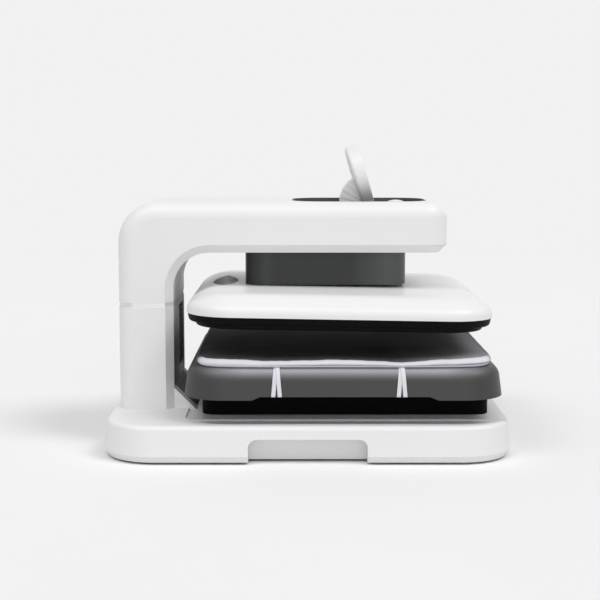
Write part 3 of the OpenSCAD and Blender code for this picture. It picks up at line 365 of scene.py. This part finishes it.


# tone(88, 90, 89) is the paler tone of the shroud's painted highlight and painted light.
dress(dark_moulding("shroud_charcoal", tone(54, 56, 55), 0.36, 0.3, paler=tone(88, 90, 89),
                    painted_light=shroud_painted_light), "ram_shroud")
dress(turned_metal("screw_steel", tone(170, 171, 174), 0.28, ram_axis, 0.004), "lead_screw")
dress(turned_metal("rod_steel", tone(196, 197, 200), 0.16, ram_axis, 0.0005), "guide_rods")
dress(plated_steel("clevis_steel", tone(150, 152, 156), 0.38), "level_clevis")
dress(plated_steel("level_pin_steel", tone(192, 193, 196), 0.22, (260.0, 3.0, 260.0)), "level_pin")


# Platen: a white crowned moulding with a smoky oval lens let into its rear, over a black heat-proof skirt.
# Inside are the mica board and the tube element with its thermostat. The heat plate below them is coated
# aluminium.
def smoky_lens(name):
    """Smoked grey moulding with fine grain, and a paler streak across it as a painted highlight on its
    shallow lens shape.
    """
    material, shader, place = start_finish(name, IOR=1.45, Specular_IOR_Level=0.1)
    low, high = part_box("platen_inset")
    across = (place.axis("Y") - low[1]) / (high[1] - low[1])
    along = (place.axis("X") - low[0]) / (high[0] - low[0])
    cloud = place.noise(24.0, 3.0)
    # The streak is a painted highlight.
    streak = 1 - place.math("ABSOLUTE", along * 0.8 + across * 0.25 - 0.55) * 3.2
    paler = streak.rise(0.0, 1.0) * 0.7 + cloud * 0.3
    paler.blend(tone(116, 116, 117), tone(232, 232, 233)).feed(shader, "Base Color")
    (0.5 + cloud * 0.16).feed(shader, "Roughness")
    place.noise(1500.0).relief(shader, 0.06, 0.0002)
    return material


def coated_plate(name):
    """Non-stick black coating on aluminium: near-black, with faint paler rub marks and a fine peel."""
    material, shader, place = start_finish(name, IOR=1.45, Specular_IOR_Level=0.1)
    rub = place.drawn((6.0, 90.0, 6.0), 5.0)
    peel = place.noise(700.0, 3.0)
    rounded, edge = edge_of(place, 0.0008)
    body = rub.rise(0.5, 0.85).blend(tone(5, 5, 6), tone(11, 11, 12))
    (edge * 0.4).blend(body, tone(24, 24, 26)).feed(shader, "Base Color")
    (0.44 + (rub - 0.5) * 0.3).feed(shader, "Roughness")
    peel.relief(shader, 0.16, 0.0002, rounded)
    return material


def mica_board(name):
    """Pressed mica: tan flakes of a few millimetres with silvery glints."""
    material, shader, place = start_finish(name, IOR=1.55)
    flakes = place.node("ShaderNodeTexVoronoi", {"Vector": place, "Scale": 210.0}, out="Color")
    value = place.node("ShaderNodeRGBToBW", {0: flakes})
    value.blend(tone(146, 122, 88), tone(204, 186, 150)).feed(shader, "Base Color")
    (0.35 + value * 0.4).feed(shader, "Roughness")
    value.relief(shader, 0.25, 0.0002)
    return material


dress(white_moulding("platen_white", tone(238, 238, 239), 0.34), "platen_shell")
dress(smoky_lens("lens_smoke"), "platen_inset")
dress(dark_moulding("skirt_black", tone(14, 14, 15), 0.5, 0.06), "platen_skirt")
dress(coated_plate("plate_black"), "heat_plate")
dress(mica_board("mica_tan"), "insulation_board")
dress(plated_steel("element_tube", tone(120, 112, 104), 0.45), "heating_element")
dress(plated_steel("thermostat_can", tone(190, 190, 188), 0.3), "thermostat")


# Drawer tray: a dark grey open-bottomed moulding with a rounded rim, screwed from below to a steel sheet
# that rides on the runners.
tray_middle = 0.0474


def rim_painted_reflection(place):
    """Share of painted reflection of the pale binding on the rounded rim under the pad's long edge: grows as
    a square over 14 mm upwards and ends before the corners."""
    off_middle = place.math("ABSOLUTE", place.axis("X") - tray_middle)
    up = place.axis("Z").rise(0.108, 0.1215)
    return up * up * (1 - off_middle.rise(0.13, 0.195))


# The rim's lilac tone(160, 158, 164) is a painted reflection of the binding.
dress(dark_moulding("tray_grey", tone(60, 60, 60), 0.44, 0.4, 0.08, paler=tone(160, 158, 164),
                    painted_light=rim_painted_reflection), "tray_shell")


# Press pad: foam in a dark coated heat-resistant cloth, lying loose on the tray. Its edge is bound with a
# white woven tape that the ties draw down, so the rim dips at each pair and the corners stand up.
pad_at = np.array([tray_middle, 0.0, 0.12615])
pad_half, pad_draw = 0.1985, 0.0025
pad_crown, rim_high, rim_share = 0.01145, 0.0090, 0.965
corner_lift, corner_uneven = 0.0018, 0.0006
gather_at, gather_wide, gather_high = 0.95, 0.02, 0.00018
crease_at, crease_wide, crease_deep = 0.32, 0.08, 0.0040
tie_at, tie_sag, sag_reach = (-0.0879, 0.0741), (0.0016, 0.0032), 0.04


def even_outline(n):
    """Rounded square |x|^9 + |y|^9 = 1, as n points at even steps along its edge."""
    turn = np.linspace(0.0, 2 * math.pi, 20001)
    reach = (np.abs(np.cos(turn)) ** 9 + np.abs(np.sin(turn)) ** 9) ** (-1 / 9)
    x, y = reach * np.cos(turn), reach * np.sin(turn)
    walked = np.concatenate([[0.0], np.cumsum(np.hypot(np.diff(x), np.diff(y)))])
    at = np.linspace(0.0, walked[-1], n, endpoint=False)
    return np.interp(at, walked, x), np.interp(at, walked, y)


def ramp(value, start, length):
    """0 before start, 1 from a length beyond it, straight between."""
    return np.clip((value - start) / length, 0.0, 1.0)


def pad_surface(spread, lift, n):
    """Pad grid, rows by n points round. Row k is the outline shrunk by spread[k]; its height is lift[k] of
    the rim's height, which stands up at the corners and dips by a bell curve at each tie, and inside the rim
    it grows to the crown as 1 - (spread / rim)^5. The sides draw in by draw * cos^2(2a), gathers ripple the
    rim, and a crease runs round it below the middle."""
    x, y = even_outline(n)
    a = np.arctan2(np.abs(y) ** 4.5, np.abs(x) ** 4.5)
    half = pad_half - pad_draw * np.cos(2 * a) ** 2
    px, py = x * half, y * half
    corner = ramp(np.minimum(np.abs(x), np.abs(y)), 0.4, 0.55) ** 1.5
    long_side = np.abs(y) > 0.9
    dip = sum(s * np.exp(-((px - t) / sag_reach) ** 2) for t, s in zip(tie_at, tie_sag)) * long_side
    walk = np.linspace(0.0, 2 * math.pi, n, endpoint=False)
    wave = 0.00022 * np.sin(23 * walk + 1.3) + 0.00016 * np.sin(41 * walk + 0.4) + 0.0001 * np.sin(97 * walk)
    rim = rim_high + corner * (corner_lift + corner_uneven * np.sign(x)) - dip + wave
    inward = np.clip(spread / rim_share, 0.0, 1.0)[:, None] ** 5
    rise = lift[:, None]
    z = np.where(rise < 1.0, rise * rim, rim * inward + pad_crown * (1 - inward))
    gather = np.exp(-np.abs(spread[:, None] - gather_at) / gather_wide) * (rise >= 1.0)
    pull = gather_high * np.sin(150 * walk + 2 * np.sin(7 * walk)) * (1 + 2 * dip / max(tie_sag))
    crease = crease_deep * np.exp(-((rise - crease_at) / crease_wide) ** 2) * ramp(x, -0.55, 0.3)
    scale = spread[:, None] - crease / pad_half
    return np.stack([px * scale, py * scale, z + gather * pull], axis=-1) + pad_at


def closed_rows(name, grid, capped, mark=None):
    """Mesh of a grid whose rows close on themselves: quads between rows, and where capped a fan at each end
    row, which is drawn together in one point. A mark of each grid point, its share of painted light and
    shade, is kept for the finish."""
    rows, n = grid.shape[:2]
    k, i = np.meshgrid(np.arange(rows - 1), np.arange(n), indexing="ij")
    j = (i + 1) % n
    quads = np.stack([k * n + i, k * n + j, (k + 1) * n + j, (k + 1) * n + i], axis=-1).reshape(-1, 4)
    points = grid.reshape(-1, 3)
    faces = quads.tolist()
    if capped:
        points = np.concatenate([points, [grid[0].mean(axis=0)], [grid[-1].mean(axis=0)]])
        ring = np.arange(n)
        turn = np.roll(ring, -1)
        faces += np.stack([turn, ring, np.full(n, rows * n)], axis=-1).tolist()
        last = (rows - 1) * n
        faces += np.stack([last + ring, last + turn, np.full(n, rows * n + 1)], axis=-1).tolist()
    mesh = bpy.data.meshes.new(name)
    mesh.from_pydata(points.tolist(), [], faces)
    mesh.polygons.foreach_set("use_smooth", np.ones(len(mesh.polygons), dtype=bool))
    if mark is not None:
        shares = np.zeros(len(points), dtype=np.float32)
        shares[:rows * n] = mark.reshape(-1)
        mesh.attributes.new("mark", "FLOAT", "POINT").data.foreach_set("value", shares)
    piece = bpy.data.objects.new(name, mesh)
    bpy.context.collection.objects.link(piece)
    return piece


def woven_cloth(name, colour, deep, painted_tone, thread, **constants):
    """Plain weave. Height = |sin| ribs of the warp times |sin| ribs of the weft; colour darkens between
    threads, drifts in slow clouds and turns to painted_tone, as painted light and shade, by the mesh's
    mark; stray lint is paler."""
    material, shader, place = start_finish(name, **constants)
    x, y, z = (place.axis(a) * (math.pi / thread) for a in "XYZ")
    warp = place.math("ABSOLUTE", place.math("SINE", x))
    weft = place.math("ABSOLUTE", place.math("SINE", y + z))
    weave = warp * weft
    cloud = place.noise(16.0, 4.0)
    lint = place.noise(700.0, 3.0).rise(0.68, 0.76)
    body = (weave * 0.6 + cloud * 0.5).rise(0.1, 0.8).blend(deep, colour)
    # The mesh's mark paints painted light on the pad and painted shade on the binding.
    body = place.node("ShaderNodeAttribute", attribute_name="mark", out="Fac").blend(body, painted_tone)
    (lint * 0.35).blend(body, tone(222, 222, 226)).feed(shader, "Base Color")
    (constants["Roughness"] + (cloud - 0.5) * 0.2 + lint * 0.1).feed(shader, "Roughness")
    (weave + cloud * 2.0).relief(shader, 0.35, 0.0002)
    return material


round_steps = 640
edge_turn = np.linspace(-math.pi / 2, math.pi / 2, 45)
edge_spread = rim_share + (1 - rim_share) * np.cos(edge_turn) ** 0.75
edge_lift = (1 + np.sin(edge_turn)) / 2
top_spread = rim_share * (1 - np.linspace(0.0, 1.0, 46)[1:-1] ** 1.25)
base_spread = np.linspace(0.05, rim_share, 8)[:-1]
pad_spread = np.concatenate([base_spread, edge_spread, top_spread])
pad_lift = np.concatenate([np.zeros(len(base_spread)), edge_lift[:-1], np.ones(1 + len(top_spread))])
pad_grid = pad_surface(pad_spread, pad_lift, round_steps)

# Painted light makes the cloth paler towards its right end, most on the near side, and a little along the
# long edges.
pad_x, pad_y = pad_grid[..., 0], pad_grid[..., 1]
end_painted_light = ramp(pad_x, 0.09, 0.16) ** 1.4 * np.clip(0.62 - 2.5 * pad_y, 0.2, 1.0)
edge_painted_light = 0.2 * ramp(np.abs(pad_y), 0.12, 0.07)
pad_cover = closed_rows("pad_cover", pad_grid, True, end_painted_light + edge_painted_light)
# tone(170, 170, 173) is the paler tone of the cloth's painted light.
pad_cover.data.materials.append(woven_cloth("coated_cloth", tone(52, 52, 54), tone(30, 30, 32),
                                            tone(170, 170, 173), 0.0009, Roughness=0.6,
                                            Specular_IOR_Level=0.04))
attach(pad_cover, "tray")
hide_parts("press_pad")

# The binding follows the pad's rim a third of a millimetre out, from underneath up to the top edge. It is
#  white, and painted shade darkens it along the two short ends, less at the right one, and in a line along
#  its crease from the middle rightwards.
hem_rows = slice(10, 47)
hem_off, hem_thick = 0.00035, 0.0004
crease_shade_wide, long_edge_y, edge_soft = 0.09, 0.178, 0.012
hem_grid, hem_lift = pad_grid[hem_rows], pad_lift[hem_rows, None]
hem_x, hem_y = hem_grid[..., 0], hem_grid[..., 1]
crease_painted_shade = np.exp(-((hem_lift - crease_at) / crease_shade_wide) ** 2) * ramp(hem_x, -0.04, 0.05)
short_edge_painted_shade = np.clip((long_edge_y - np.abs(hem_y)) / edge_soft, 0.0, 1.0) * np.where(hem_x < 0.0, 1.0, 0.45)
hem_painted_shade = np.maximum(0.85 * crease_painted_shade, short_edge_painted_shade)
along = np.roll(hem_grid, -1, axis=1) - np.roll(hem_grid, 1, axis=1)
outward = np.cross(along, np.gradient(hem_grid, axis=0))
outward /= np.linalg.norm(outward, axis=-1, keepdims=True)
pad_hem = closed_rows("pad_hem", hem_grid + hem_off * outward, False, hem_painted_shade)
thicken = pad_hem.modifiers.new("tape", "SOLIDIFY")
thicken.thickness = hem_thick
thicken.offset = 1.0
# tone(48, 48, 51) is the colour of the binding's painted shade.
pad_hem.data.materials.append(woven_cloth("hem_tape", tone(236, 234, 241), tone(206, 204, 213),
                                          tone(48, 48, 51), 0.0007, Roughness=0.7))
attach(pad_hem, "tray")


# Ties: four pairs of white woven ribbon sewn under the binding. Each runs over the tray's rim and hangs
# down its side, one ribbon crossing over its mate, with cut ends.
tie_width, tie_thick = 0.0055, 0.0008
tray_clear, mate_clear = 0.00035, 0.0002
tie_gap, tie_over = tie_thick / 2 + tray_clear, tie_thick + mate_clear
tray_half, tray_high, tray_lean, tray_round = 0.206, 0.0416, 0.0055, 0.017
tray_top = 0.126
tie_tuck, tie_drop, tie_spread, tie_parting = 0.008, 0.037, 0.0032, 0.0014
fold_deep, fold_wide = 0.00018, 0.0005
rim_lean = math.atan(tray_lean / tray_high)
rim_y = tray_half - (tray_high - tray_round) * math.tan(rim_lean) - tray_round / math.cos(rim_lean)


def tie_route(side, steps=36):
    """Centreline and facing of one ribbon: under the pad's edge, round the tray's rounded rim, then down the
    leaning wall while it spreads aside; the upper ribbon keeps a thickness further out until they part.
    Straight steps between the sewing points are eased by a running mean."""
    bend = np.radians([75.0, 60.0, 45.0, 30.0, 15.0])
    drop = np.array([0.5, 0.66, 0.83, 1.0])
    y = np.concatenate([[rim_y - tie_tuck, rim_y], rim_y + (tray_round + tie_gap) * np.cos(bend),
                        tray_half - tray_lean * (tray_high - drop * tie_drop) / tray_high + tie_gap])
    z = np.concatenate([[tie_gap, tie_gap], (tray_round + tie_gap) * np.sin(bend) - tray_round,
                        -drop * tie_drop])
    spread = tie_spread * np.maximum(0.0, -z) / tie_drop
    face = np.concatenate([[math.pi / 2] * 2, bend, np.zeros(len(drop))])
    lift = tie_over * np.clip((tie_spread - spread) / tie_parting, 0.0, 1.0) * (side > 0)
    aside = side * (tie_width / 5 + spread)
    knots = np.stack([aside, y + lift * np.cos(face), z + lift * np.sin(face), face], axis=-1)
    walked = np.concatenate([[0.0], np.cumsum(np.linalg.norm(np.diff(knots[:, :3], axis=0), axis=1))])
    at = np.linspace(0.0, walked[-1], steps)
    line = np.stack([np.interp(at, walked, knots[:, c]) for c in range(4)], axis=-1)
    mean = (line[:-2] + 2 * line[1:-1] + line[2:]) / 4
    return np.concatenate([line[:1], mean, line[-1:]])


def ribbon_piece(name, route, across):
    """Band with a flat oval section of 12 points, carried along the route: its width lies along X, its
    thickness along the way it faces, and a fold line dips along its middle. Both ends are capped."""
    turn = np.linspace(0.0, 2 * math.pi, 12, endpoint=False)
    wide = np.sign(np.cos(turn)) * np.abs(np.cos(turn)) ** 0.5 * tie_width / 2
    deep = np.sign(np.sin(turn)) * np.abs(np.sin(turn)) ** 0.5 * tie_thick / 2
    deep = deep - fold_deep * np.exp(-(wide / fold_wide) ** 2)
    out = np.stack([np.zeros(len(route)), across * np.cos(route[:, 3]), np.sin(route[:, 3])], axis=-1)
    section = wide[None, :, None] * [across, 0.0, 0.0] + deep[None, :, None] * out[:, None, :]
    return closed_rows(name, route[:, None, :3] + section, True)


tape = woven_cloth("tie_tape", tone(240, 238, 244), tone(208, 206, 214), tone(196, 194, 203), 0.0005,
                   Roughness=0.65)
for across in (-1, 1):
    for pair, middle in enumerate(tie_at):
        for side in (-1, 1):
            route = tie_route(side)
            route[:, 0] = middle + pad_at[0] + route[:, 0]
            route[:, 1] = across * route[:, 1]
            route[:, 2] = route[:, 2] + tray_top
            name = "tie_%s_%d%s" % ("near" if across < 0 else "far", pair + 1, "a" if side < 0 else "b")
            tie = ribbon_piece(name, route, across)
            tie.data.materials.append(tape)
            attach(tie, "tray")
            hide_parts("pad_ties")


# Studio: a pale sweep of paper that fades into the same pale backdrop, two lamps high in front, one to the
# left and one to the right, a wide one overhead, a weak wide one beside the camera, and an even sky.
def paper_sweep(reach, rings, spokes):
    """Disc on the table: rings at the squares of even steps, so that they crowd at its middle, and spokes at
    even angles."""
    r = (np.linspace(0.0, 1.0, rings)[1:] ** 2)[:, None] * reach
    a = np.linspace(0.0, 2 * math.pi, spokes, endpoint=False)[None, :]
    grid = np.stack([r * np.cos(a), r * np.sin(a), np.zeros((rings - 1, spokes))], axis=-1)
    return closed_rows("paper_sweep", grid, False)


def seen_directly(tree):
    """1 on rays that come straight from the eye or off a mirror or glass, 0 on rays that carry light."""
    kinds = ("Camera", "Glossy", "Transmission")
    rays = [tree.node("ShaderNodeLightPath", out="Is %s Ray" % kind) for kind in kinds]
    return sum(rays[1:], rays[0]).rise(0.0, 1.0)


def paper(name):
    """Matt paper, the same all over but for faint fibres, that turns clear towards the disc's edge. It throws
    back less light than it shows, as the dark room round a studio table does."""
    material, shader, place = start_finish(name, Specular_IOR_Level=0.0, Roughness=0.9)
    fibre = place.noise(3.0, 3.0).rise(0.2, 0.8).blend(tone(247, 247, 247), tone(249, 249, 249))
    seen_directly(place).blend(tone(236, 236, 236), fibre).feed(shader, "Base Color")
    far = place.node("ShaderNodeVectorMath", {0: place}, out="Value", operation="LENGTH").rise(1.6, 3.2)
    clear = place.node("ShaderNodeBsdfTransparent")
    shown = place.node("ShaderNodeMixShader", {0: far, 1: Wire(place.tree, shader.outputs[0]), 2: clear})
    shown.feed(material.node_tree.nodes["Material Output"], "Surface")
    return material


floor = paper_sweep(4.0, 40, 96)
floor.data.materials.append(paper("paper_pale"))

world = bpy.data.worlds.new("studio_sky")
bpy.context.scene.world = world
world.use_nodes = True
sky = Wire(world.node_tree)
lit = sky.node("ShaderNodeBackground", {"Color": (1.0, 1.0, 1.0, 1.0), "Strength": 0.37})
shown = sky.node("ShaderNodeBackground", {"Color": tone(241, 241, 241), "Strength": 1.0})
sky.node("ShaderNodeMixShader", {0: seen_directly(sky), 1: lit, 2: shown}
         ).feed(world.node_tree.nodes["World Output"], "Surface")

# Each lamp has its strength, the width of its disc, its tilt from straight overhead towards the camera, and
# its turn round the upright axis, the last three in degrees.
for side, energy, wide, tilt, round_by in (("left", 0.58, 26.0, 34.0, -50.0),
                                           ("right", 0.98, 26.0, 36.0, 62.0),
                                           ("top", 0.5, 30.0, 27.0, 0.0),
                                           ("front", 0.40, 40.0, 76.0, 5.0)):
    lamp = bpy.data.lights.new("lamp_" + side, "SUN")
    lamp.energy = energy
    lamp.angle = math.radians(wide)
    stand = bpy.data.objects.new("lamp_" + side, lamp)
    stand.rotation_euler = (math.radians(tilt), 0.0, math.radians(round_by))
    bpy.context.collection.objects.link(stand)


# Camera: a long lens at the height of the raised display's top, 1.9 m in front of the press's middle, that
# looks slightly down at its long side.
lens = bpy.data.cameras.new("front_camera")
lens.sensor_width = 36.0
lens.lens = 79.5
camera = bpy.data.objects.new("front_camera", lens)
camera.location = (-0.012716, -1.888494, 0.410780)
camera.rotation_euler = (math.radians(83.3705), 0.0, math.radians(-0.0865))
bpy.context.collection.objects.link(camera)
bpy.context.scene.camera = camera
bpy.context.scene.view_settings.view_transform = "Standard"
